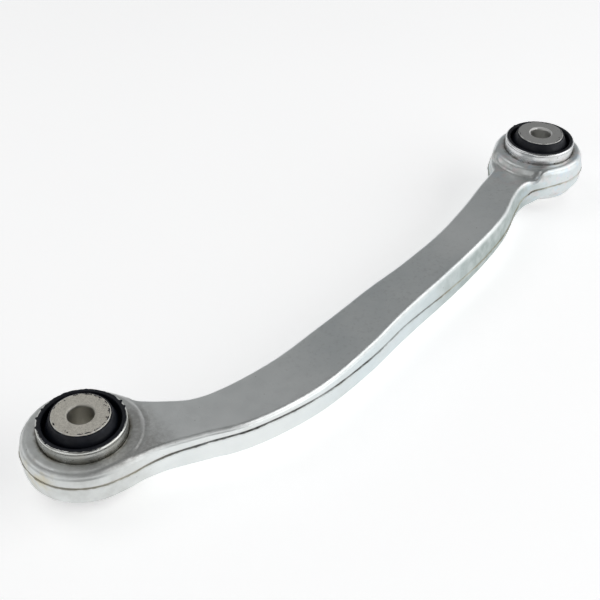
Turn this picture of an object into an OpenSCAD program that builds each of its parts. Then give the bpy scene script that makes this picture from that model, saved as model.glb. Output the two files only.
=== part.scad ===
// Curved two-bush control arm of a multi-link suspension.
// The forged arm carries a bonded rubber bush at each end. Origin: on the inboard bolt axis, halfway up
// the inboard bush. +Z runs along the bolts, +X towards the outboard bush.

/* [Link] */
// Distance between the two bolt axes
bolt_spacing = 337; // [330:1:343]
// How far the outboard bush sits above the inboard one
outboard_rise = 4.4; // [3.6:0.1:4.8]

/* [Forged bar] */
// Height of the bar's flat top above the middle of the inboard bush
bar_top = 8.2; // [8:0.1:8.6]
// Radius along the long edges of the bar
edge_radius = 1.9; // [1.5:0.1:2.4]
// Draft of the side walls above the parting line, in degrees
upper_draft = 9; // [6:0.5:10]
// Draft of the side walls below the parting line, in degrees
lower_draft = 3; // [1:0.5:5]

/* [Eyes] */
// Radius of the inboard eye at the parting line
inboard_eye_radius = 28.6; // [28:0.1:29.2]
// Radius of the outboard eye at the parting line
outboard_eye_radius = 27; // [26.6:0.1:27.6]
// Height of the eye's upper face above the middle of its bush
eye_top = 9; // [8.9:0.1:9.4]
// Depth of the eye's lower shoulder below the middle of its bush
eye_bottom = 8.4; // [8:0.1:8.8]
// Radius of the raised collar under an eye
collar_radius = 23.8; // [23.4:0.1:24.4]
// Depth of the inboard collar's lower face below the middle of its bush
inboard_collar_depth = 11.6; // [11:0.1:12.4]
// Depth of the outboard collar's lower face below the middle of its bush
outboard_collar_depth = 13; // [12.6:0.1:13.4]
// Radius of the rounded shoulders of an eye
shoulder_radius = 3; // [2:0.1:3.4]
// Radius of the cove where the outboard eye rises from the bar
cove_radius = 4; // [3:0.1:4.4]

/* [Outer sleeves] */
// Outer diameter of the steel sleeve pressed into an eye
sleeve_od = 40.4; // [40:0.1:41]
// Length of the outer sleeve
sleeve_length = 31; // [30:0.5:32]
// Wall of the outer sleeve
sleeve_wall = 1.5; // [1.2:0.1:1.8]
// Radius rolled round the rims of the outer sleeve
sleeve_rim = 1.1; // [0.6:0.1:1.1]

/* [Inner sleeves] */
// Diameter of the bolt hole
bolt_hole = 12.2; // [12.1:0.1:12.4]
// Outer diameter of the inner sleeve
inner_od = 26.4; // [25.6:0.1:26.6]
// Length of the inner sleeve, between the faces that the brackets clamp
inner_length = 38; // [37:0.5:39]
// Chamfer at the mouth of the bolt hole
hole_chamfer = 0.6; // [0.4:0.1:0.8]
// Bevel round the outside of the clamped faces
face_bevel = 0.3; // [0.2:0.1:0.5]

/* [Rubber] */
// Depth of the groove between the rubber's rim and its cone, below the sleeve's rim
groove_depth = 4.2; // [3:0.1:5]
// How far the rubber stops short of the clamped face
rubber_setback = 0.7; // [0.5:0.1:1.2]

/* [Hidden] */
$fn = 96;
inboard = [0, 0, 0];
outboard = [bolt_spacing, 0, outboard_rise];
bond_gap = 0.05;
sleeve_r = sleeve_od / 2;
rubber_r = sleeve_r - sleeve_wall;
inner_r = inner_od / 2;
half_sleeve = sleeve_length / 2;
half_inner = inner_length / 2;
stretch = bolt_spacing / 337;

// The bar is swept through these stations, in mm: x and y on its centre line, its width at the parting
// line, the height of the parting line, and the height of the underside.
BAR = [[10, -8, 43, 0, -8.4],
       [25, -17, 32, 2, -9],
       [43, -27.5, 26, 3, -9.5],
       [63, -34.8, 28.8, 4, -9.2],
       [95, -38.2, 31.5, 3.4, -9.2],
       [131, -35.2, 31.4, 1.2, -10.6],
       [165, -30.5, 29, 0, -11.6],
       [200, -27, 27.4, -2.2, -11.4],
       [235, -22, 27.4, -3.6, -10.4],
       [265, -15.2, 27.8, -3.4, -9.4],
       [287, -7.6, 25.4, -2.6, -9.4],
       [300, -4.1, 24.8, -1.2, -9.2],
       [311, -2.6, 28, -0.8, -8.6],
       [321, -0.8, 39, 1.6, -8]];
SPAN_STEPS = 5;
ARC_STEPS = 4;

// Catmull-Rom curve through points p, in span i at share t.
function at(p, i) = p[min(max(i, 0), len(p) - 1)];
function spline(p, i, t) =
    0.5 * (2 * at(p, i) + (at(p, i + 1) - at(p, i - 1)) * t
    + (2 * at(p, i - 1) - 5 * at(p, i) + 4 * at(p, i + 1) - at(p, i + 2)) * t * t
    + (3 * at(p, i) - at(p, i - 1) - 3 * at(p, i + 1) + at(p, i + 2)) * t * t * t);

stations = [for (i = [0:len(BAR) - 2], s = [0:SPAN_STEPS - 1]) spline(BAR, i, s / SPAN_STEPS), BAR[len(BAR) - 1]];
last_station = len(stations) - 1;

// Direction of the bar's centre line at station i, in plan.
function heading(i) =
    let (a = stations[max(i - 1, 0)], b = stations[min(i + 1, last_station)])
    atan2(b[1] - a[1], b[0] - a[0]);

// One side wall of a section, from the parting line over the long edge: [offset from the centre line, height].
// side is 1 for the upper half and -1 for the lower half.
function side_wall(half_width, part_z, face_z, draft, side) =
    let (edge = half_width - abs(face_z - part_z) * tan(draft))
    concat([[half_width, part_z]],
           [for (k = [0:ARC_STEPS])
                let (a = draft + (90 - draft) * k / ARC_STEPS)
                [edge - edge_radius * (1 - cos(a)), face_z - side * edge_radius * (1 - sin(a))]]);
function mirrored(points) = [for (i = [len(points) - 1:-1:0]) [-points[i][0], points[i][1]]];
function reversed(points) = [for (i = [len(points) - 1:-1:0]) points[i]];
function section(half_width, part_z, under_z) =
    let (upper = side_wall(half_width, part_z, bar_top, upper_draft, 1),
         lower = side_wall(half_width, part_z, under_z, lower_draft, -1),
         n = len(lower) - 1)
    concat(upper, mirrored(upper),
           [for (i = [1:n]) [-lower[i][0], lower[i][1]]],
           [for (i = [n:-1:1]) lower[i]]);

// Sweeps the section along the stations and closes both ends.
module bar() {
    rings = [for (i = [0:last_station])
        let (s = stations[i], h = heading(i))
        [for (p = section(s[2] / 2, s[3], s[4]))
            [s[0] * stretch + p[0] * sin(h), s[1] - p[0] * cos(h), p[1]]]];
    n = len(rings[0]);
    polyhedron(
        points = [for (ring = rings, p = ring) p],
        faces = concat(
            [for (i = [0:last_station - 1], k = [0:n - 1])
                [i * n + k, i * n + (k + 1) % n, (i + 1) * n + (k + 1) % n, (i + 1) * n + k]],
            [[for (k = [n - 1:-1:0]) k]],
            [[for (k = [0:n - 1]) last_station * n + k]]),
        convexity = 6);
}

// An arc of points, for rounding a turned profile.
function arc(cx, cy, r, from, to, steps = 8) =
    [for (k = [0:steps]) let (a = from + (to - from) * k / steps) [cx + r * cos(a), cy + r * sin(a)]];

// A forged eye: a drafted ring with round shoulders, and the collar below it.
module eye(radius, collar_depth) {
    ring_r = radius - 1;
    rotate_extrude()
        polygon(concat(
            [[0, -collar_depth]],
            arc(collar_radius - 1, -collar_depth + 1, 1, -90, 0),
            [[collar_radius, -eye_bottom - 0.4], [collar_radius + 0.4, -eye_bottom]],
            arc(ring_r - 2, -eye_bottom + 2, 2, -90, 0),
            [[radius, 0]],
            arc(ring_r - shoulder_radius, eye_top - shoulder_radius, shoulder_radius, 0, 90),
            [[0, eye_top]]));
}

// The cove where the outboard eye rises out of the bar's flat top, kept to the bar's side of the eye.
module cove() {
    wall = outboard_eye_radius - 1;
    foot = bar_top - outboard_rise;
    translate(outboard) intersection() {
        rotate_extrude()
            polygon(concat([[wall - 4, foot - 0.5], [wall - 4, foot + cove_radius]],
                           arc(wall + cove_radius, foot + cove_radius, cove_radius, 180, 270),
                           [[wall + cove_radius, foot - 0.5]]));
        translate([-outboard_eye_radius - 10, -12, 0]) cube([18, 24, 20]);
    }
}

module arm_forging() {
    color([0.72, 0.74, 0.75])
    difference() {
        union() {
            bar();
            translate(inboard) eye(inboard_eye_radius, inboard_collar_depth);
            translate(outboard) eye(outboard_eye_radius, outboard_collar_depth);
            cove();
        }
        for (place = [inboard, outboard])
            translate(place) cylinder(h = 2 * sleeve_od, r = sleeve_r, center = true);
    }
}

module outer_sleeve() {
    color([0.80, 0.81, 0.82])
    rotate_extrude()
        polygon(concat(
            [[rubber_r, -half_sleeve]],
            arc(sleeve_r - sleeve_rim, -half_sleeve + sleeve_rim, sleeve_rim, -90, 0),
            arc(sleeve_r - sleeve_rim, half_sleeve - sleeve_rim, sleeve_rim, 0, 90),
            [[rubber_r, half_sleeve]]));
}

// Upper half of the rubber's profile, from the inner sleeve out to the outer sleeve.
function rubber_profile() =
    let (bond = inner_r + bond_gap,
         groove = half_sleeve - groove_depth,
         cone_top = half_inner - rubber_setback)
    concat([[bond, cone_top]],
           [[bond + 0.5, cone_top]],
           arc(bond + 3.2, groove + 0.9, 0.9, 200, 340, 5),
           [[rubber_r - 0.9, half_sleeve - 0.2], [rubber_r, half_sleeve - 0.2]]);

module rubber() {
    upper = rubber_profile();
    color([0.07, 0.08, 0.09])
    rotate_extrude()
        polygon(concat(upper, [for (p = reversed(upper)) [p[0], -p[1]]]));
}

module inner_sleeve() {
    color([0.66, 0.65, 0.61])
    difference() {
        union() {
            cylinder(h = inner_length - 2 * face_bevel, r = inner_r, center = true);
            for (side = [1, -1])
                translate([0, 0, side * (half_inner - face_bevel)])
                    mirror([0, 0, side < 0 ? 1 : 0])
                        cylinder(h = face_bevel, r1 = inner_r, r2 = inner_r - face_bevel);
        }
        cylinder(h = inner_length + 2, d = bolt_hole, center = true);
        for (side = [1, -1])
            translate([0, 0, side * (half_inner - hole_chamfer)])
                mirror([0, 0, side < 0 ? 1 : 0])
                    cylinder(h = hole_chamfer + 0.01, d1 = bolt_hole, d2 = bolt_hole + 2 * hole_chamfer);
    }
}

arm_forging();
translate(inboard) outer_sleeve();  // inboard_outer_sleeve
translate(inboard) rubber();  // inboard_rubber
translate(inboard) inner_sleeve();  // inboard_inner_sleeve
translate(outboard) outer_sleeve();  // outboard_outer_sleeve
translate(outboard) rubber();  // outboard_rubber
translate(outboard) inner_sleeve();  // outboard_inner_sleeve
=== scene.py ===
"""Looks of a bowed suspension control arm with a bonded rubber bush in each eye.

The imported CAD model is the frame. Lengths in this script are millimetres until a mesh is made,
where MM turns them into the frame's metres.
"""
import math
import random

import bmesh
import bpy
import numpy as np
from mathutils import Euler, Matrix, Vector, noise
from mathutils.geometry import delaunay_2d_cdt


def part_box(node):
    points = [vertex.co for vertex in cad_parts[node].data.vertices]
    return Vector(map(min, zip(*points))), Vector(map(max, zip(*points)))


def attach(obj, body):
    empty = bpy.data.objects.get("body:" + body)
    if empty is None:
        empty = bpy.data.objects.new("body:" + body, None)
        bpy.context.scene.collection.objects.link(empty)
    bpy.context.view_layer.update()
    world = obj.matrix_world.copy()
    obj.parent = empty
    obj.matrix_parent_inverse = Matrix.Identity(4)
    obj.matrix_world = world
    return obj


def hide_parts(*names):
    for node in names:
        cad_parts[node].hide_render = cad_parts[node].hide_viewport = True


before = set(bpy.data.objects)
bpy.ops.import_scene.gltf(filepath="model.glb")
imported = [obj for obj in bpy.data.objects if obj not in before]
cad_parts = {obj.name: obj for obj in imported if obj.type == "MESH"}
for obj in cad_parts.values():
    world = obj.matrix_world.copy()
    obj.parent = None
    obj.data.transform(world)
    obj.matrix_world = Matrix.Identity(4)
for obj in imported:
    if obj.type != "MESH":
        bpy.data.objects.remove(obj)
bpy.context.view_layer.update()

MM = 0.001
random.seed(7)
# Unseeded, noise.noise_vector differs from run to run.
noise.seed_set(7)


# ---------------------------------------------------------------- sizes taken from the frame
def node_box(node):
    """Lowest and highest corner of a CAD node, in mm."""
    low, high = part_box(node)
    return np.array(low) / MM, np.array(high) / MM


def bush_sizes(side):
    """Centre and main sizes of one bush, read from its CAD nodes."""
    inner_low, inner_high = node_box(side + "_inner_sleeve")
    outer_low, outer_high = node_box(side + "_outer_sleeve")
    return {
        "side": side,
        "centre": (inner_low + inner_high) / 2,
        "inner_r": (inner_high[0] - inner_low[0]) / 2,
        "inner_half": (inner_high[2] - inner_low[2]) / 2,
        "outer_r": (outer_high[0] - outer_low[0]) / 2,
        "outer_half": (outer_high[2] - outer_low[2]) / 2,
    }


INBOARD = bush_sizes("inboard")
OUTBOARD = bush_sizes("outboard")
BOLT_R = 6.1
HOLE_CHAMFER = 0.6
SLEEVE_WALL = 1.5

# ---------------------------------------------------------------- the forging
# Stations on the bar's centre line, the same as in the CAD source: x, y, width at the parting line, height of
# the parting line, height of the underside.
BAR = [
    (10, -8, 43, 0, -8.4),
    (25, -17, 32, 2, -9),
    (43, -27.5, 26, 3, -9.5),
    (63, -34.8, 28.8, 4, -9.2),
    (95, -38.2, 31.5, 3.4, -9.2),
    (131, -35.2, 31.4, 1.2, -10.6),
    (165, -30.5, 29, 0, -11.6),
    (200, -27, 27.4, -2.2, -11.4),
    (235, -22, 27.4, -3.6, -10.4),
    (265, -15.2, 27.8, -3.4, -9.4),
    (287, -7.6, 25.4, -2.6, -9.4),
    (300, -4.1, 24.8, -1.2, -9.2),
    (311, -2.6, 28, -0.8, -8.6),
    (321, -0.8, 39, 1.6, -8),
]
SPAN_STEPS = 24
BAR_TOP = 8.2
UPPER_DRAFT = math.radians(9)
LOWER_DRAFT = math.radians(3)
# Each eye: bush, radius at the parting line, parting height, top face, lower shoulder, collar face, how its
# top falls to the bar (radius where the rounded shoulder starts, radius of the shoulder, radius of the cove
# at its foot) in the middle of the bar and at its edges, how deep the bar is dished just past the foot,
# the bar's direction in degrees, and how widely the two outlines run into each other.
EYES = [
    {"bush": INBOARD, "radius": 28.6, "parting": 2.4, "top": 9.1, "shoulder": -8.4, "collar": -11.6,
     "fall": (25.4, 2.0, 2.0), "edge_fall": (25.4, 2.0, 2.0), "dish": 0.14, "bar_side": -32,
     "blend": 4.0},
    {"bush": OUTBOARD, "radius": 27.0, "parting": 3.8, "top": 13.4, "shoulder": -4.0, "collar": -8.6,
     "fall": (24.0, 3.0, 2.4), "edge_fall": (22.5, 6.0, 9.0), "dish": 0.0, "bar_side": 186,
     "blend": 6.0},
]
# Where the top falls to the bar, as the cosine of the angle from the bar's direction: the fall sets in from 0
# up to FALL_FULL, and the middle fall takes over from the edge fall between EDGE_ENDS.
FALL_FULL = 0.5
EDGE_ENDS = (0.63, 0.93)
# Middle of the dish past the foot, and its width.
DISH_OFFSET, DISH_WIDTH = 1.0, 1.5
COLLAR_R = 23.8
BAR_EDGE = 1.9
EYE_EDGE = 3.0
UNDER_EDGE = 2.0
BORE_CHAMFER = 0.6
BORE_PLAY = 0.04

# How finely the skin is cut: mm between outline points, points round a bore, the radii of the rings of points
# round each bore, the lattice of points along the bar, loops up the side wall and over the rounded edge, and
# how far inside the outline the points of the upper face and the underside stay.
OUTLINE_STEP = 0.9
BORE_POINTS = 144
RINGS_START, RINGS_END, RING_STEP = 21.4, 32.6, 0.4
RING_POINTS = 180
LATTICE_X, LATTICE_Y = (0, 340, 1.5), (-60, 40, 1.3)
LATTICE_CLEARANCE = 0.6
WALL_SHARES = (0.0, 0.15, 0.35, 0.55, 0.75, 0.9)
EDGE_LOOPS = 9
TOP_GAP = 4.6
UNDER_GAP = 3.2
# The walls start this far above and below the parting line. Between them runs the flash line: outward offset
# and height from the parting line, from the upper wall down to the lower one.
FLASH_REACH = 0.9
FLASH = [(-0.10, 0.62), (-0.12, 0.36), (-0.26, 0.20), (-0.26, 0.06), (0.10, -0.06), (0.30, -0.22),
         (0.33, -0.42), (0.16, -0.70)]
# On the underside, the eye's shoulder passes into the bar from this radius on, over this distance, and the
# collar's edge falls over this distance.
UNDER_START, UNDER_FADE, COLLAR_FALL = 25.5, 5.0, 1.2
# The skin strays from its drawn shape by these amounts: mm, size of the pattern in mm, seed. Round a bore it
# stays true out to this radius, and strays fully this much further out.
UNEVENNESS = [(0.15, 26, 1), (0.05, 6, 2), (0.025, 1.9, 11)]
TRUE_R, TRUE_FADE = 21, 3
# Marks on the skin for the materials, in mm: how far in from the outline a side wall reaches, how far above
# the parting line the flash marks are centred, and the width of the narrow and the wide one.
SIDE_DEPTH = 2.2
MARK_RISE = 0.1
MARK_WIDTH, WIDE_MARK_WIDTH = 0.42, 2.2


def smooth_curve(points, steps):
    """Dense points on the Catmull-Rom curve through the given ones."""
    p = np.array(points, float)
    last = len(p) - 1
    rows = []
    for i in range(last):
        a, b, c, d = p[max(i - 1, 0)], p[i], p[i + 1], p[min(i + 2, last)]
        for t in np.arange(steps) / steps:
            rows.append(0.5 * (2 * b + (c - a) * t + (2 * a - 5 * b + 4 * c - d) * t**2
                               + (3 * b - a - 3 * c + d) * t**3))
    return np.array(rows + [p[-1]])


CENTRE_LINE = smooth_curve(BAR, SPAN_STEPS)


def smooth_step(x):
    """0 below 0, 1 above 1, and a soft S between."""
    x = np.clip(x, 0, 1)
    return x * x * (3 - 2 * x)


def smooth_min(a, b, k):
    """The lesser of two distances, rounded over k."""
    h = np.clip(0.5 + 0.5 * (b - a) / k, 0, 1)
    return b * (1 - h) + a * h - k * h * (1 - h)


def distances(points):
    """Plan distances to the bar and to the two eyes, negative inside, and the nearest station."""
    gap = np.linalg.norm(points[:, None, :] - CENTRE_LINE[None, :, :2], axis=2) - CENTRE_LINE[:, 2] / 2
    nearest = gap.argmin(1)
    bar = gap[np.arange(len(points)), nearest]
    eyes = [np.linalg.norm(points - eye["bush"]["centre"][:2], axis=1) - eye["radius"] for eye in EYES]
    return bar, eyes, nearest


def plan_distance(points):
    """Plan distance to the forging's outline, negative inside."""
    gap, eye_gaps, _ = distances(points)
    for eye_gap, eye in zip(eye_gaps, EYES):
        gap = smooth_min(gap, eye_gap, eye["blend"])
    return gap


def plan_normal(points, h=0.05):
    """Outward direction of the outline, in plan."""
    gx = plan_distance(points + [h, 0]) - plan_distance(points - [h, 0])
    gy = plan_distance(points + [0, h]) - plan_distance(points - [0, h])
    g = np.stack([gx, gy], 1)
    return g / np.linalg.norm(g, axis=1, keepdims=True)


def outline():
    """Points spaced evenly round the forging at the parting line, anticlockwise. Each step goes along the
    outline and is then pulled back onto it."""
    start = np.array([[-EYES[0]["radius"], 0.0]])
    p, walked = start, [start[0]]
    while True:
        n = plan_normal(p)
        p = p + np.stack([-n[:, 1], n[:, 0]], 1) * OUTLINE_STEP
        for _ in range(2):
            p = p - plan_normal(p) * plan_distance(p)[:, None]
        if len(walked) > 20 and np.linalg.norm(p - start) < OUTLINE_STEP * 0.8:
            return np.array(walked)
        walked.append(p[0])


def mix_by_nearness(points, bar_value, eye_values, reach=5.0):
    """A value of the bar and one of each eye, mixed by how far inside each of them a point is."""
    bar, eyes, nearest = distances(points)
    weights = [np.exp(-bar / reach)] + [np.exp(-e / reach) for e in eyes]
    values = [bar_value[nearest] if np.ndim(bar_value) else np.full(len(points), bar_value)]
    values += [np.full(len(points), v) for v in eye_values]
    return sum(w * v for w, v in zip(weights, values)) / sum(weights)


def heading(degrees):
    """The unit vector in plan at an angle from +X."""
    return np.array([math.cos(math.radians(degrees)), math.sin(math.radians(degrees))])


def ring_radius(points, eye):
    """Plan distance from each point to an eye's axis."""
    return np.linalg.norm(points - eye["bush"]["centre"][:2], axis=1)


def fall_below(r, start, shoulder, cove, height):
    """How far a ring's top has fallen at radius r, down a rounded shoulder and a cove, and the radius where
    the fall ends."""
    lean = np.sin(np.arccos(1 - height / (shoulder + cove)))
    turn, end = start + shoulder * lean, start + (shoulder + cove) * lean
    on_shoulder = shoulder - np.sqrt(np.clip(shoulder**2 - np.clip(r - start, 0, None)**2, 0, None))
    in_cove = height - cove + np.sqrt(np.clip(cove**2 - np.clip(end - r, 0, None)**2, 0, None))
    return np.where(r < turn, on_shoulder, np.where(r < end, in_cove, height)), end


def top_height(points):
    """Height of the upper face. Each eye's top falls to the bar only on the bar's side of the eye."""
    z = np.full(len(points), BAR_TOP)
    for eye in EYES:
        r = ring_radius(points, eye)
        along_bar = (points - eye["bush"]["centre"][:2]) @ heading(eye["bar_side"]) / r
        at_edge = smooth_step((EDGE_ENDS[1] - along_bar) / (EDGE_ENDS[1] - EDGE_ENDS[0]))
        fall = [a + (b - a) * at_edge for a, b in zip(eye["fall"], eye["edge_fall"])]
        height = eye["top"] - BAR_TOP
        fallen, end = fall_below(r, *fall, height)
        fallen = fallen + eye["dish"] * np.exp(-((r - end - DISH_OFFSET) / DISH_WIDTH) ** 2)
        z = z + height - fallen * smooth_step(along_bar / FALL_FULL)
    return z


def under_height(points):
    """Height of the underside, with the collar under each eye."""
    _, _, nearest = distances(points)
    z = CENTRE_LINE[nearest, 4]
    for eye in EYES:
        r = ring_radius(points, eye)
        z = z + (eye["shoulder"] - z) * (1 - smooth_step((r - UNDER_START) / UNDER_FADE))
        on_collar = 1 - smooth_step((r - COLLAR_R + 0.7) / COLLAR_FALL)
        z = z + (eye["collar"] - eye["shoulder"]) * on_collar
    return z


def side_loops(plan, normal, parting, face_height, draft, edge, side):
    """Loops from just off the parting line to the inner end of the rounded edge, as (inward, height) pairs.
    side is 1 for the upper half and -1 for the lower one. Where the edge ends depends on the face's height
    there, so a first guess of the reach is bettered a few times."""
    reach = np.full(len(plan), 3.0)
    for _ in range(4):
        face = face_height(plan - normal * reach[:, None])
        rise = np.abs(face - parting)
        reach = rise * math.tan(draft) + edge
    wall = rise - edge * (1 - math.sin(draft))
    loops = []
    for share in WALL_SHARES:
        height = FLASH_REACH + (wall - FLASH_REACH) * share
        loops.append((height * math.tan(draft), parting + side * height))
    for angle in np.linspace(draft, math.pi / 2, EDGE_LOOPS):
        inward = rise * math.tan(draft) + edge * (1 - math.cos(angle))
        loops.append((inward, face - side * edge * (1 - math.sin(angle))))
    return loops


def circle(centre, r, count):
    """Points spaced evenly round a circle, in plan."""
    turn = np.arange(count) * 2 * math.pi / count
    return centre + r * np.stack([np.cos(turn), np.sin(turn)], 1)


def points_inside(gap):
    """Points that fill the forging's faces: rings round each bore and a lattice along the bar,
    all further inside the outline than gap."""
    rows = []
    for eye in EYES:
        for r in np.arange(RINGS_START, RINGS_END, RING_STEP):
            rows.append(circle(eye["bush"]["centre"][:2], r, RING_POINTS))
    x, y = np.meshgrid(np.arange(*LATTICE_X), np.arange(*LATTICE_Y))
    x[::2] += LATTICE_X[2] / 2
    lattice = np.stack([x.ravel(), y.ravel()], 1)
    for eye in EYES:
        lattice = lattice[ring_radius(lattice, eye) > RINGS_END + LATTICE_CLEARANCE]
    points = np.vstack(rows + [lattice])
    return points[plan_distance(points) < -gap]


def inside_loop(points, loop):
    """Which plan points lie inside a closed loop, by counting the loop's edges to the right of each."""
    crossings = np.zeros(len(points), int)
    for (x0, y0), (x1, y1) in zip(loop, np.roll(loop, -1, 0)):
        if y0 != y1:
            level = (points[:, 1] > min(y0, y1)) & (points[:, 1] <= max(y0, y1))
            crossings += level & (points[:, 0] < x0 + (points[:, 1] - y0) * (x1 - x0) / (y1 - y0))
    return crossings % 2 == 1


def face_mesh(loop, loop_z, face_height, bore_r, gap):
    """The face between an inner loop of the side wall and the two bores: points and triples of indices."""
    rings = [circle(eye["bush"]["centre"][:2], bore_r, BORE_POINTS) for eye in EYES]
    inside = points_inside(gap)
    plan = np.vstack([loop] + rings + [inside])
    heights = np.concatenate([loop_z, face_height(plan[len(loop):])])
    edges, start = [], 0
    for count in (len(loop), BORE_POINTS, BORE_POINTS):
        edges += [(start + i, start + (i + 1) % count) for i in range(count)]
        start += count
    found = delaunay_2d_cdt([Vector(p) for p in plan], edges, [], 1, 1e-5, True)
    source = [ids[0] for ids in found[3]]
    points = np.column_stack([plan[source], heights[source]])
    triangles = np.array([tuple(t) for t in found[2]])
    middle = points[triangles][:, :, :2].mean(1)
    kept = inside_loop(middle, loop)
    for eye in EYES:
        kept &= ring_radius(middle, eye) > bore_r
    return points, triangles[kept]


def quads_between(first, second, count):
    """Faces between two closed rings of points that start at these indices."""
    return [(first + i, first + (i + 1) % count, second + (i + 1) % count, second + i) for i in range(count)]


def noise_vectors(points, size, seed):
    """A smooth random vector at each point. The pattern has the given size and is shifted by the seed."""
    offset = Vector((seed * 13.7, seed * 5.1, seed * 9.3))
    return np.array([noise.noise_vector(Vector(p) / size + offset) for p in points])


def noise_values(points, size, seed):
    """A smooth random number at each point."""
    return noise_vectors(points, size, seed)[:, 0]


def build_mesh(name, points, faces, body, material, replaced=(), unevenness=None):
    """A smooth-shaded piece made of points in mm, riding on a body."""
    mesh = bpy.data.meshes.new(name)
    mesh.from_pydata(np.asarray(points, float).tolist(), [], [tuple(int(i) for i in f) for f in faces])
    tool = bmesh.new()
    tool.from_mesh(mesh)
    bmesh.ops.remove_doubles(tool, verts=tool.verts, dist=2e-3)
    bmesh.ops.recalc_face_normals(tool, faces=tool.faces)
    tool.to_mesh(mesh)
    tool.free()
    place = np.array([v.co for v in mesh.vertices], float)
    if unevenness:
        place = place + unevenness(place)
    mesh.vertices.foreach_set("co", (place * MM).ravel())
    mesh.update()
    mesh.shade_smooth()
    piece = bpy.data.objects.new(name, mesh)
    bpy.context.scene.collection.objects.link(piece)
    mesh.materials.append(material)
    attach(piece, body)
    if replaced:
        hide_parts(*replaced)
    return piece


def parting_height(plan):
    """Height of the parting line beside each plan point."""
    return mix_by_nearness(plan, CENTRE_LINE[:, 3], [eye["parting"] for eye in EYES])


def forging_unevenness(points):
    """How far the forging's skin strays from its drawn shape. The bores stay true."""
    freedom = np.ones(len(points))
    for eye in EYES:
        freedom *= smooth_step((ring_radius(points[:, :2], eye) - TRUE_R) / TRUE_FADE)
    stray = sum(amount * noise_vectors(points, size, seed) for amount, size, seed in UNEVENNESS)
    return stray * freedom[:, None]


def build_arm(material):
    """The forging: one closed skin with a flash line, rounded edges, rings, collars and two bores."""
    plan = outline()
    normal = plan_normal(plan)
    count = len(plan)
    parting = parting_height(plan)
    edge = mix_by_nearness(plan, BAR_EDGE, [EYE_EDGE] * 2, 1.5)
    under_edge = np.full(count, UNDER_EDGE)
    upper = side_loops(plan, normal, parting, top_height, UPPER_DRAFT, edge, 1)
    lower = side_loops(plan, normal, parting, under_height, LOWER_DRAFT, under_edge, -1)
    along = np.column_stack([plan, parting])
    ragged = 1 + 1.1 * noise_values(along, 7, 3) + 0.9 * noise_values(along, 1.6, 4)
    flash = [(-out * np.where(out > 0, ragged, 1), parting + dz) for out, dz in FLASH]
    points, faces = [], []
    loops = list(reversed(upper)) + flash + lower
    for inward, z in loops:
        xy = plan - normal * np.broadcast_to(inward, count)[:, None]
        points.append(np.column_stack([xy, z]))
    for k in range(len(loops) - 1):
        faces += quads_between(k * count, (k + 1) * count, count)
    chamfer_r = INBOARD["outer_r"] + BORE_CHAMFER
    closings = [(points[0], top_height, TOP_GAP), (points[-1], under_height, UNDER_GAP)]
    for loop, face_height, gap in closings:
        face_points, triangles = face_mesh(loop[:, :2], loop[:, 2], face_height, chamfer_r, gap)
        base = sum(map(len, points))
        points.append(face_points)
        faces += [tuple(t + base) for t in triangles]
    bore_r = INBOARD["outer_r"] + BORE_PLAY
    for eye in EYES:
        base = sum(map(len, points))
        wall = [(chamfer_r, eye["top"]), (bore_r, eye["top"] - BORE_CHAMFER),
                (bore_r, eye["collar"] + BORE_CHAMFER), (chamfer_r, eye["collar"])]
        for r, z in wall:
            ring = circle(eye["bush"]["centre"][:2], r, BORE_POINTS)
            points.append(np.column_stack([ring, np.full(BORE_POINTS, z)]))
        for k in range(len(wall) - 1):
            faces += quads_between(base + k * BORE_POINTS, base + (k + 1) * BORE_POINTS, BORE_POINTS)
    piece = build_mesh("arm_skin", np.vstack(points), faces, "link", material,
                       ["arm_forging"], forging_unevenness)
    mark_sides(piece.data)


def mark_sides(mesh):
    """Marks each point from 0 to 1: how near the flash line it is, narrowly and widely, and how much it
    belongs to a side wall. The materials read these marks."""
    place = np.array([v.co for v in mesh.vertices], float) / MM
    off = np.abs(place[:, 2] - parting_height(place[:, :2]) - MARK_RISE)
    on_side = smooth_step(plan_distance(place[:, :2]) + SIDE_DEPTH)
    near = np.exp(-(off / MARK_WIDTH) ** 2) * on_side
    near_wide = np.exp(-(off / WIDE_MARK_WIDTH) ** 2) * on_side
    side = on_side * smooth_step((top_height(place[:, :2]) - place[:, 2] - 1.2) / 1.2)
    for name, values in (("flash", near), ("flash_wide", near_wide), ("side", side)):
        mesh.attributes.new(name, "FLOAT", "POINT").data.foreach_set("value", values.astype(np.float32))


# ---------------------------------------------------------------- turned pieces
# Profiles of the rubber, from the inside out: radius, and depth below the outer sleeve's rim for the rubber
# rim's inner wall and lip, or below the clamped face for the cone's slope.
RIM_PROFILE = [(16.4, 6.5), (16.6, 4.6), (16.95, 4.1), (17.3, 3.0), (17.45, 1.2), (17.6, 0.3), (17.85, -0.08),
               (18.2, -0.24)]
CONE_PROFILE = [(14.6, 2.6), (15.4, 4.2), (16.1, 5.7), (16.6, 7.0), (16.95, 8.2), (17.15, 9.6)]
# A torn flash has this many nubs, and starts at this radius.
NUBS = 14
TORN_START = 17.9


def arc(cr, cz, r, start, end, steps=6):
    """Points on an arc of a turned profile, angles in degrees."""
    return [(cr + r * math.cos(math.radians(a)), cz + r * math.sin(math.radians(a)))
            for a in np.linspace(start, end, steps)]


def both_ends(upper):
    """A closed profile whose lower half mirrors the upper one, which runs from the inside out."""
    return upper + [(r, -z) for r, z in reversed(upper)]


def fine(profile, longest):
    """The closed profile with its long stretches cut up."""
    rows = []
    for (r0, z0), (r1, z1) in zip(profile, profile[1:] + profile[:1]):
        cuts = max(1, math.ceil(math.hypot(r1 - r0, z1 - z0) / longest))
        rows += [(r0 + (r1 - r0) * k / cuts, z0 + (z1 - z0) * k / cuts) for k in range(cuts)]
    return rows


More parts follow.
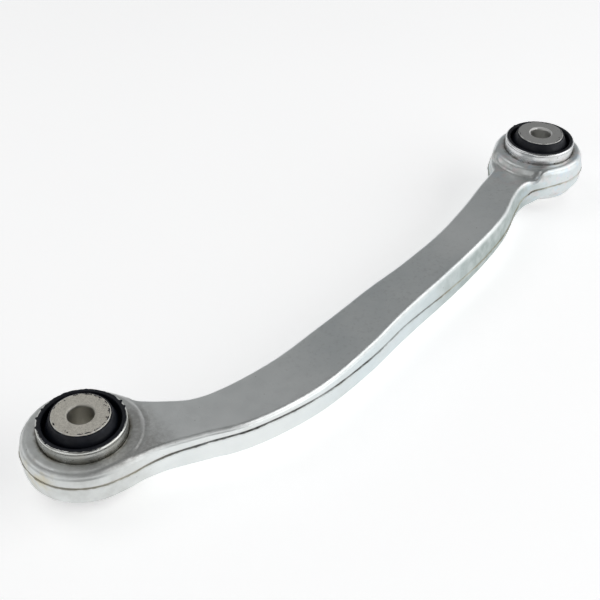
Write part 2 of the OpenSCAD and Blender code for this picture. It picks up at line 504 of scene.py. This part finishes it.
def turned(name, bush, profile, body, material, replaced=(), turns=240, unevenness=None, shape=None):
    """A piece turned about a bush's axis from a closed profile. shape may move its points in (r, turn, z)."""
    turn = np.arange(turns) * 2 * math.pi / turns
    rows = []
    for r, z in profile:
        rr, zz = np.full(turns, float(r)), np.full(turns, float(z))
        if shape:
            rr, zz = shape(rr, turn, zz)
        rows.append(np.column_stack([rr * np.cos(turn), rr * np.sin(turn), zz]) + bush["centre"])
    faces = []
    for k in range(len(profile)):
        faces += quads_between(k * turns, (k + 1) % len(profile) * turns, turns)
    build_mesh(name, np.vstack(rows), faces, body, material, replaced, unevenness)


def build_outer_sleeve(bush, material):
    """The pressed-in steel sleeve: its rims rolled round on the outside and eased on the inside, and a
    shallow drawn groove below them."""
    r, half, wall, rim, ease = bush["outer_r"], bush["outer_half"], SLEEVE_WALL, 1.0, 0.35
    groove = [(r, half - 1.5), (r - 0.14, half - 1.8), (r - 0.15, half - 2.2), (r, half - 3.2)]
    upper = arc(r - wall + ease, half - ease, ease, 180, 90, 4) + arc(r - rim, half - rim, rim, 90, 0, 9)
    node = bush["side"] + "_outer_sleeve"

    def dents(points):
        return 0.04 * noise_vectors(points, 9, 5) + 0.008 * noise_vectors(points, 3, 6)

    turned(node + "_skin", bush, fine(both_ends(upper + groove), 1.2), "link", material,
           [node], 288, dents)


def build_rubber_rim(bush, reach, ragged, material):
    """The rubber bonded inside the outer sleeve: a rim with a torn moulding flash reaching over the steel."""
    wall, top = bush["outer_r"] - SLEEVE_WALL, bush["outer_half"]
    flash = [(wall + reach * 0.6, top + 0.26), (wall + reach * 0.9, top + 0.16), (wall + reach, top - 0.02),
             (wall + reach, top - 0.4), (wall - 0.03, top - 0.4), (wall - 0.03, top - 3)]
    upper = [(r, top - depth) for r, depth in RIM_PROFILE] + flash
    # Each nub: where it is round the bush, at which end, how wide it is in radians, and how long in mm.
    nubs = [(random.uniform(0, 2 * math.pi), random.choice((1, -1)), random.uniform(0.02, 0.045),
             random.uniform(0.5, 0.95)) for _ in range(NUBS)]

    def torn(r, turn, z):
        """Tears the flash: its reach over the rim and its height vary round the bush, with a few nubs."""
        ring = np.column_stack([np.cos(turn), np.sin(turn), np.sign(z) * 3]) * wall
        wander = 0.6 * noise_values(ring, 4.5, 7) + 0.5 * noise_values(ring, 1.3, 8)
        spikes = np.zeros(len(turn))
        for at, side, width, size in nubs:
            gap = (turn - at + math.pi) % (2 * math.pi) - math.pi
            spikes += (np.sign(z) == side) * size * np.exp(-(gap / width) ** 2)
        edge = np.clip(r - TORN_START, 0, 1) * (np.abs(z) > top - 0.35)
        return (r + edge * ragged * (0.4 * wander + spikes),
                z + np.sign(z) * edge * ragged * (0.16 * wander + 0.3 * spikes))

    turned(bush["side"] + "_rubber_rim", bush, fine(both_ends(upper), 1.0), "link", material,
           [bush["side"] + "_rubber"], 420, None, torn)


def build_rubber_cone(bush, material):
    """The rubber bonded to the inner sleeve: a cone at each end that runs down into the groove."""
    core, top, crown = bush["inner_r"] - 0.02, bush["inner_half"], 0.45
    upper = [(core, top - crown)] + arc(core + 0.35, top - 2 * crown, crown, 110, 20, 5)
    upper += [(r, top - depth) for r, depth in CONE_PROFILE]

    def soft(points):
        return 0.07 * noise_vectors(points, 5, 10)

    turned(bush["side"] + "_rubber_cone", bush, fine(both_ends(upper), 1.0), bush["side"] + "_cushion",
           material, [bush["side"] + "_rubber"], 288, soft)


def build_inner_sleeve(bush, material):
    """The thick inner sleeve: chamfered bolt hole and eased faces."""
    r, half, bevel = bush["inner_r"], bush["inner_half"], 0.4
    mouth = BOLT_R + HOLE_CHAMFER + 0.1
    upper = [(BOLT_R, half - HOLE_CHAMFER), (BOLT_R + HOLE_CHAMFER * 0.9, half - 0.06)]
    upper += [(mouth + k * (r - bevel - mouth) / 6, half) for k in range(7)]
    upper += arc(r - bevel, half - bevel, bevel, 75, 0, 5)
    node = bush["side"] + "_inner_sleeve"
    turned(node + "_skin", bush, fine(both_ends(upper), 1.5), bush["side"] + "_centre",
           material, [node])


def flake_outline(inner_r):
    """A ragged flake near the edge of the inner sleeve's face, longest round the bush, as (radius, turn)."""
    turn = random.gauss(-0.9, 1.4)
    length = random.choice((0.25, 0.4, 0.5, 0.8, 1.4, 2.4)) * random.uniform(0.8, 1.3)
    width = random.uniform(0.18, 0.75)
    place = inner_r - 0.5 - width * 0.3
    if length < 1:
        place -= random.random() ** 4 * 1.5
    sides = 8 + 2 * int(length * 3)
    ring = []
    for k in range(sides):
        angle = 2 * math.pi * k / sides
        half_width = width / 2 * random.uniform(0.45, 1.15)
        ring.append((place + half_width * math.sin(angle), turn + length / 2 * math.cos(angle) / place))
    return ring


def build_flakes(bush, amount, material):
    """Thin torn flakes of rubber left on the edge of the inner sleeve's two faces."""
    points, faces = [], []
    for side in (1, -1):
        for _ in range(amount):
            ring = flake_outline(bush["inner_r"])
            sides, base = len(ring), len(points)
            for height in (-0.03, random.uniform(0.07, 0.18)):
                z = side * (bush["inner_half"] + height)
                points += [(r * math.cos(turn), r * math.sin(turn), z) for r, turn in ring]
            faces += quads_between(base, base + sides, sides)
            faces += [tuple(range(base + sides, base + 2 * sides)), tuple(range(base, base + sides))[::-1]]
    build_mesh(bush["side"] + "_rubber_flakes", np.array(points) + bush["centre"], faces,
               bush["side"] + "_centre", material)


# ---------------------------------------------------------------- materials
class Paint:
    """A material and short calls that add nodes to it."""

    def __init__(self, name):
        self.material = bpy.data.materials.new(name)
        self.material.use_nodes = True
        self.nodes = self.material.node_tree.nodes
        self.links = self.material.node_tree.links
        self.shader = self.nodes["Principled BSDF"]
        self.place = self.nodes.new("ShaderNodeTexCoord").outputs["Object"]

    def add(self, kind, inputs, **settings):
        """A node with its settings and its inputs, each a value or another node's output."""
        node = self.nodes.new(kind)
        for key, value in settings.items():
            setattr(node, key, value)
        for key, value in inputs.items():
            if isinstance(value, bpy.types.NodeSocket):
                self.links.new(value, node.inputs[key])
            else:
                node.inputs[key].default_value = value
        return node

    def noise(self, size_mm, detail=3.0, stretch=(1, 1, 1), roughness=0.55):
        """Cloudy noise whose pattern has the given size."""
        vector = self.place
        if stretch != (1, 1, 1):
            vector = self.add("ShaderNodeMapping", {"Vector": self.place, "Scale": stretch}).outputs[0]
        return self.add("ShaderNodeTexNoise", {"Vector": vector, "Scale": 1000 / size_mm, "Detail": detail,
                                               "Roughness": roughness}).outputs["Fac"]

    def span(self, value, low, high, to_low=0.0, to_high=1.0):
        """The value mapped smoothly from one span to another."""
        return self.add("ShaderNodeMapRange", {"Value": value, "From Min": low, "From Max": high,
                                               "To Min": to_low, "To Max": to_high},
                        interpolation_type="SMOOTHSTEP").outputs[0]

    def chain(self, operation, values):
        """The values joined by one arithmetic operation, from left to right."""
        total = values[0]
        for value in values[1:]:
            total = self.add("ShaderNodeMath", {0: total, 1: value}, operation=operation).outputs[0]
        return total

    def times(self, *values):
        return self.chain("MULTIPLY", values)

    def plus(self, *values):
        return self.chain("ADD", values)

    def minus(self, *values):
        return self.chain("SUBTRACT", values)

    def along(self, axis):
        """The place along one axis in metres, 0 for x, 1 for y and 2 for z."""
        return self.add("ShaderNodeSeparateXYZ", {0: self.place}).outputs[axis]

    def attribute(self, name):
        """A mark that mark_sides put on the mesh."""
        return self.add("ShaderNodeAttribute", {}, attribute_name=name).outputs["Fac"]

    def vector_math(self, operation, a, b, output):
        """One output of a vector operation on two values."""
        return self.add("ShaderNodeVectorMath", {0: a, 1: b}, operation=operation).outputs[output]

    def near(self, centre, inner_mm, outer_mm, place=None):
        """1 within inner_mm of a point in mm, falling to 0 at outer_mm."""
        where = tuple(c * MM for c in centre)
        away = self.vector_math("DISTANCE", self.place if place is None else place, where, "Value")
        return self.span(away, inner_mm * MM, outer_mm * MM, 1.0, 0.0)

    def within(self, centre, inner_mm, outer_mm):
        """1 nearer than inner_mm to the upright axis through a point, falling to 0 at outer_mm."""
        plan = self.vector_math("MULTIPLY", self.place, (1, 1, 0), "Vector")
        return self.near((centre[0], centre[1], 0), inner_mm, outer_mm, plan)

    def band(self, centre, inner_mm, outer_mm):
        """1 between two radii from an upright axis, with soft edges 1 mm wide."""
        outer = self.within(centre, outer_mm, outer_mm + 1)
        return self.minus(outer, self.within(centre, inner_mm - 1, inner_mm))

    def mix(self, share, first, second):
        """One colour turning into another."""
        node = self.nodes.new("ShaderNodeMix")
        node.data_type = "RGBA"
        for socket, value in ((node.inputs[0], share), (node.inputs[6], first), (node.inputs[7], second)):
            if isinstance(value, bpy.types.NodeSocket):
                self.links.new(value, socket)
            else:
                socket.default_value = value if isinstance(value, float) else (*value, 1.0)
        return node.outputs[2]

    def bumps(self, *layers):
        """Bump nodes one on another, each (height, depth in mm, strength)."""
        below = None
        for height, depth, strength in layers:
            inputs = {"Height": height, "Distance": depth * MM, "Strength": strength}
            if below:
                inputs["Normal"] = below
            below = self.add("ShaderNodeBump", inputs).outputs[0]
        self.links.new(below, self.shader.inputs["Normal"])

    def finish(self, colour, roughness, **constants):
        """The finished material. Each constant is set on the shader's socket of that name."""
        self.links.new(colour, self.shader.inputs["Base Color"])
        self.links.new(roughness, self.shader.inputs["Roughness"])
        for key, value in constants.items():
            self.shader.inputs[key.replace("_", " ")].default_value = value
        return self.material


def forging_paint():
    """Blasted aluminium forging: mottled, handled and stained, with a dark flash line, and painted shade and
    highlights in places.
    """
    p = Paint("forged_aluminium")
    broad, middle, small, grain = p.noise(34, 4), p.noise(7, 5), p.noise(1.8, 4), p.noise(0.8, 3)
    side, along = p.attribute("side"), p.along(0)
    colour = p.mix(p.span(broad, 0.32, 0.68), (0.695, 0.73, 0.73), (0.775, 0.80, 0.79))
    colour = p.mix(p.span(middle, 0.42, 0.75, 0.0, 0.35), colour, (0.62, 0.64, 0.635))
    colour = p.mix(p.span(small, 0.5, 0.72, 0.0, 0.45), colour, (0.56, 0.575, 0.57))
    colour = p.mix(p.times(side, p.span(broad, 0.4, 0.6, 0.4, 0.8)), colour, (0.70, 0.775, 0.80))
    # Paler towards the inboard eye and in one stretch of the bar; darker grey-blue walls on the outer half,
    # partly a coating and partly painted shade.
    pale = p.plus(p.span(along, 0.06, 0.14, 1.0, 0.0), p.near((248, -19, 8), 8, 44))
    colour = p.mix(p.times(pale, p.span(broad, 0.3, 0.6, 0.5, 0.8)), colour, (0.86, 0.88, 0.87))
    film_and_shade = p.times(p.span(along, 0.16, 0.24), p.span(along, 0.295, 0.325, 1.0, 0.0), side,
                   p.span(middle, 0.3, 0.7, 0.6, 0.95))
    colour = p.mix(film_and_shade, colour, (0.34, 0.40, 0.385))
    # Round the inboard eye: duller from handling, and painted shade on its top towards the camera and the
    # bar.
    handled = p.within(INBOARD["centre"], 24, 37)
    colour = p.mix(p.times(handled, p.span(middle, 0.3, 0.7, 0.6, 1.0)), colour, (0.60, 0.61, 0.595))
    on_top = p.span(p.along(2), (BAR_TOP - 1.8) * MM, BAR_TOP * MM)
    eye_top_shade = p.plus(p.near((8, -23, 9), 8, 27), p.near((22, -8, 9), 2, 11))
    eye_top_shade = p.times(on_top, eye_top_shade, p.span(small, 0.3, 0.7, 0.45, 1.0))
    colour = p.mix(eye_top_shade, colour, (0.44, 0.44, 0.425))
    pits = p.span(p.noise(1.7, 2), 0.72, 0.77)
    colour = p.mix(p.times(pits, 0.45), colour, (0.22, 0.21, 0.19))
    # A dark ring at the foot of both outer sleeves, partly dirt and partly painted contact shade, and painted
    # shade in the cove of the outboard eye.
    for bush in (INBOARD, OUTBOARD):
        foot = p.times(p.within(bush["centre"], 20.5, 22.6), p.span(p.noise(2.4, 4), 0.3, 0.6, 0.3, 1.0))
        colour = p.mix(p.times(foot, 0.85), colour, (0.20, 0.18, 0.145))
    off_side = p.minus(1.0, side)
    # Painted shade in the outboard eye's cove.
    cove_shade = p.times(p.band(OUTBOARD["centre"], 26.8, 28.6), p.span(p.noise(3.1, 4), 0.3, 0.6, 0.4, 1.0))
    colour = p.mix(p.times(cove_shade, off_side, 0.4), colour, (0.36, 0.355, 0.33))
    # A painted highlight along the ridge where the inboard ring meets the bar, and a warm stain on that eye's
    # far end.
    ridge = p.times(p.band(INBOARD["centre"], 25.9, 26.7), off_side, p.near((25, 3, 9), 12, 25))
    ridge_highlight = p.times(ridge, p.span(middle, 0.3, 0.6, 0.5, 1.0))
    colour = p.mix(p.times(ridge_highlight, 0.8), colour, (0.95, 0.95, 0.94))
    warm_patch = p.times(p.near((-28, -3, 5), 4, 13), p.span(p.noise(6, 4), 0.42, 0.62))
    colour = p.mix(p.times(warm_patch, 0.45), colour, (0.70, 0.63, 0.42))
    # Faint pink and blue tints at the outboard eye.
    at_outboard = p.near(OUTBOARD["centre"], 22, 52)
    pink = p.times(at_outboard, p.span(p.noise(5, 2), 0.5, 0.66, 0.0, 0.4))
    colour = p.mix(pink, colour, (0.82, 0.70, 0.70))
    blue = p.times(at_outboard, p.span(p.noise(6.3, 2), 0.52, 0.68, 0.0, 0.45))
    colour = p.mix(blue, colour, (0.62, 0.74, 0.84))
    # A faint stain beside the flash line, and the line itself: dark and patchy, but browner and fainter at
    # the inboard eye and over the outer half of the arm.
    stain = p.times(p.attribute("flash_wide"), p.span(p.noise(4, 4), 0.5, 0.72), 0.12)
    colour = p.mix(stain, colour, (0.52, 0.47, 0.33))
    faded = p.plus(p.span(along, 0.18, 0.215), p.span(along, -0.005, 0.035, 1.0, 0.0))
    line = p.times(p.attribute("flash"), p.span(p.noise(46, 2), 0.38, 0.62, 0.7, 1.0),
                   p.span(p.noise(3, 3), 0.3, 0.7, 0.75, 1.0), p.mix(faded, (0.97,) * 3, (0.68,) * 3))
    colour = p.mix(line, colour, p.mix(faded, (0.045, 0.04, 0.032), (0.30, 0.245, 0.13)))
    roughness = p.plus(p.span(middle, 0.3, 0.7, 0.37, 0.47),
                       p.times(handled, p.span(small, 0.3, 0.7, 0.04, 0.14)), p.times(line, 0.2))
    p.bumps((p.noise(3.2, 4), 0.10, 0.5), (small, 0.06, 0.4), (grain, 0.04, 0.4))
    return p.finish(colour, roughness, Metallic=1.0)


def sleeve_paint(name, base, dirt):
    """Bright plated steel with drawing marks round it and specks of dirt."""
    p = Paint(name)
    lines = p.noise(14, 4, (0.12, 0.12, 9.0))
    specks = p.span(p.noise(1.6, 2), 0.66, 0.72)
    patches = p.span(p.noise(9, 4), 0.45, 0.7)
    colour = p.mix(p.span(lines, 0.3, 0.7), tuple(c * 0.9 for c in base), base)
    colour = p.mix(p.times(patches, 0.35), colour, tuple(c * f for c, f in zip(base, (0.72, 0.7, 0.6))))
    colour = p.mix(p.times(specks, dirt), colour, (0.10, 0.09, 0.06))
    roughness = p.plus(p.span(lines, 0.3, 0.7, 0.2, 0.3), p.times(patches, 0.12))
    p.bumps((lines, 0.02, 0.2), (p.noise(1.4, 3), 0.01, 0.25))
    return p.finish(colour, roughness, Metallic=1.0)


def rubber_paint():
    """Black moulded rubber with a faint bloom, tinted blue as a painted reflection of the room."""
    p = Paint("bush_rubber")
    bloom = p.span(p.noise(6, 5), 0.45, 0.75)
    # Both colours lean blue, a painted reflection of the room.
    colour = p.mix(p.times(bloom, 0.6), (0.0025, 0.004, 0.009), (0.009, 0.012, 0.022))
    roughness = p.span(p.noise(2.5, 4), 0.3, 0.7, 0.40, 0.58)
    p.bumps((p.noise(0.7, 3), 0.03, 0.4), (p.noise(3, 3), 0.06, 0.3))
    return p.finish(colour, roughness, IOR=1.5, Specular_IOR_Level=0.35)


def inner_sleeve_paint(bush, pale, dark, grain_mm, metallic, hole_edge, hole_wall):
    """Matt metal face with a coarse grain, a brighter outer edge, and colours of their own for the edge and
    the wall of the bolt hole."""
    p = Paint(bush["side"] + "_inner_sleeve_metal")
    grain, patch = p.noise(grain_mm, 4), p.noise(6, 4)
    colour = p.mix(p.span(grain, 0.35, 0.65), dark, pale)
    colour = p.mix(p.span(patch, 0.5, 0.8, 0.0, 0.3), colour, tuple(c * 0.75 for c in dark))
    colour = p.mix(p.times(p.span(p.noise(0.8, 2), 0.68, 0.74), 0.7), colour, (0.12, 0.11, 0.09))
    chamfer = p.within(bush["centre"], BOLT_R + HOLE_CHAMFER, BOLT_R + HOLE_CHAMFER + 0.2)
    colour = p.mix(p.times(chamfer, p.span(patch, 0.3, 0.6, 0.6, 1.0)), colour, hole_edge)
    hole = p.within(bush["centre"], BOLT_R + 0.02, BOLT_R + 0.12)
    colour = p.mix(p.times(hole, p.span(patch, 0.3, 0.7, 0.85, 1.0)), colour, hole_wall)
    worn_edge = p.within(bush["centre"], bush["inner_r"] - 0.5, bush["inner_r"] - 0.3)
    worn_edge = p.plus(worn_edge, p.span(p.noise(2.2, 3), 0.35, 0.6))
    colour = p.mix(worn_edge, (0.78, 0.78, 0.75), colour)
    roughness = p.mix(hole, p.span(grain, 0.3, 0.7, 0.5, 0.66), p.span(patch, 0.3, 0.7, 0.35, 0.45))
    shine = p.mix(hole, p.mix(chamfer, (metallic,) * 3, (0.1,) * 3), (1.0,) * 3)
    p.links.new(shine, p.shader.inputs["Metallic"])
    p.bumps((grain, 0.04, 0.5), (p.noise(0.35, 2), 0.02, 0.4))
    return p.finish(colour, roughness)


# ---------------------------------------------------------------- studio
# Camera: place in mm, turn in degrees and focal length in mm, fitted to the rims of both bushes.
CAMERA_PLACE = (-182.7, -316.9, 365.7)
CAMERA_TURN = (51.4, -0.46, -44.67)
CAMERA_LENS = 67.8
# The floor lies this far below the part, in mm, so that a tilted inner sleeve stays above it.
FLOOR_DROP = 0.8
FLOOR_HALF = 4.0
FLOOR_GLOW = 0.56
# The room's light: the dark side's azimuth and elevation in degrees, and the glow of each part.
DARK_SIDE = (225, 42)
ROOM_LIGHT, ROOM_DARK, HORIZON_LIGHT = 0.30, 0.10, 0.5
# Soft boxes: name, azimuth, elevation, distance, width and height in metres, glow.
# They face the middle of the arm.
LIGHTS_AIM = (0.16, 0.0, 0.0)
SOFT_BOXES = [
    ("right_box", 302, 27, 1.3, 1.8, 1.0, 1.6),
    ("high_box", 120, 58, 1.3, 0.8, 0.8, 1.1),
    ("left_box", 188, 22, 1.3, 0.8, 0.6, 0.9),
]


def build_camera():
    """The camera at the photo's viewing angle."""
    data = bpy.data.cameras.new("camera")
    data.sensor_width = 36
    data.lens = CAMERA_LENS
    data.clip_start, data.clip_end = 0.01, 20
    camera = bpy.data.objects.new("camera", data)
    camera.location = Vector(CAMERA_PLACE) * MM
    camera.rotation_euler = Euler([math.radians(a) for a in CAMERA_TURN], "XYZ")
    bpy.context.scene.collection.objects.link(camera)
    bpy.context.scene.camera = camera


def build_floor(height_mm):
    """A plain pale floor with a faint glow of its own."""
    mesh = bpy.data.meshes.new("floor")
    corners = [(x * FLOOR_HALF, y * FLOOR_HALF, height_mm * MM)
               for x, y in ((-1, -1), (1, -1), (1, 1), (-1, 1))]
    mesh.from_pydata(corners, [], [(0, 1, 2, 3)])
    floor = bpy.data.objects.new("floor", mesh)
    bpy.context.scene.collection.objects.link(floor)
    p = Paint("floor")
    pale = p.mix(p.noise(300, 2), (0.90, 0.90, 0.90), (0.92, 0.92, 0.92))
    p.links.new(pale, p.shader.inputs["Emission Color"])
    mesh.materials.append(p.finish(pale, p.span(p.noise(50, 2), 0.3, 0.7, 0.75, 0.85),
                                   Emission_Strength=FLOOR_GLOW))


def direction(azimuth, elevation):
    """The unit vector towards an azimuth and elevation in degrees."""
    a, e = math.radians(azimuth), math.radians(elevation)
    return Vector((math.cos(e) * math.cos(a), math.cos(e) * math.sin(a), math.sin(e)))


def build_lights():
    """A dim room, darkest behind the camera and lighter towards the horizon, and the soft boxes."""
    world = bpy.data.worlds.new("room")
    world.use_nodes = True
    bpy.context.scene.world = world
    nodes, links = world.node_tree.nodes, world.node_tree.links

    def ramp(value, low, high, to_low, to_high):
        node = nodes.new("ShaderNodeMapRange")
        node.interpolation_type = "SMOOTHSTEP"
        for key, number in (("From Min", low), ("From Max", high), ("To Min", to_low), ("To Max", to_high)):
            node.inputs[key].default_value = number
        links.new(value, node.inputs["Value"])
        return node.outputs[0]

    ray = nodes.new("ShaderNodeTexCoord").outputs["Generated"]
    facing = nodes.new("ShaderNodeVectorMath")
    facing.operation = "DOT_PRODUCT"
    links.new(ray, facing.inputs[0])
    facing.inputs[1].default_value = direction(*DARK_SIDE)
    split = nodes.new("ShaderNodeSeparateXYZ")
    links.new(ray, split.inputs[0])
    total = nodes.new("ShaderNodeMath")
    total.operation = "ADD"
    links.new(ramp(facing.outputs["Value"], 0.0, 0.7, ROOM_LIGHT, ROOM_DARK), total.inputs[0])
    links.new(ramp(split.outputs[2], 0.0, 0.34, HORIZON_LIGHT, 0.0), total.inputs[1])
    links.new(total.outputs[0], nodes["Background"].inputs["Strength"])
    nodes["Background"].inputs["Color"].default_value = (0.97, 0.985, 1.0, 1.0)
    for name, azimuth, elevation, away, width, height, glow in SOFT_BOXES:
        lamp = bpy.data.lights.new(name, "AREA")
        lamp.shape = "RECTANGLE"
        lamp.size, lamp.size_y = width, height
        lamp.energy = glow * math.pi * width * height
        box = bpy.data.objects.new(name, lamp)
        box.location = direction(azimuth, elevation) * away + Vector(LIGHTS_AIM)
        box.rotation_euler = direction(azimuth, elevation).to_track_quat("Z", "Y").to_euler()
        bpy.context.scene.collection.objects.link(box)


# ---------------------------------------------------------------- the object
# How each bush looks: the reach and raggedness of its torn flash, how many flakes lie on each face of its
# inner sleeve, the outer sleeve's colour and share of dirt, and what inner_sleeve_paint takes.
BUSH_LOOKS = [
    {"bush": INBOARD, "reach": 0.9, "ragged": 1.0, "flakes": 60, "steel": (0.70, 0.705, 0.68), "dirt": 0.7,
     "face": {"pale": (0.79, 0.76, 0.68), "dark": (0.60, 0.57, 0.50), "grain_mm": 0.55, "metallic": 0.35,
              "hole_edge": (0.66, 0.64, 0.57), "hole_wall": (0.64, 0.63, 0.59)}},
    {"bush": OUTBOARD, "reach": 0.75, "ragged": 0.3, "flakes": 14, "steel": (0.80, 0.81, 0.82), "dirt": 0.9,
     "face": {"pale": (0.50, 0.50, 0.485), "dark": (0.37, 0.37, 0.36), "grain_mm": 0.45, "metallic": 0.5,
              "hole_edge": (0.88, 0.88, 0.86), "hole_wall": (0.76, 0.76, 0.74)}},
]

build_camera()
rubber = rubber_paint()
build_arm(forging_paint())
for look in BUSH_LOOKS:
    bush = look["bush"]
    build_outer_sleeve(bush, sleeve_paint(bush["side"] + "_sleeve_steel", look["steel"], look["dirt"]))
    build_rubber_rim(bush, look["reach"], look["ragged"], rubber)
    build_rubber_cone(bush, rubber)
    build_inner_sleeve(bush, inner_sleeve_paint(bush, **look["face"]))
    build_flakes(bush, look["flakes"], rubber)

build_floor(node_box("inboard_inner_sleeve")[0][2] - FLOOR_DROP)
build_lights()
bpy.context.scene.view_settings.view_transform = "Standard"
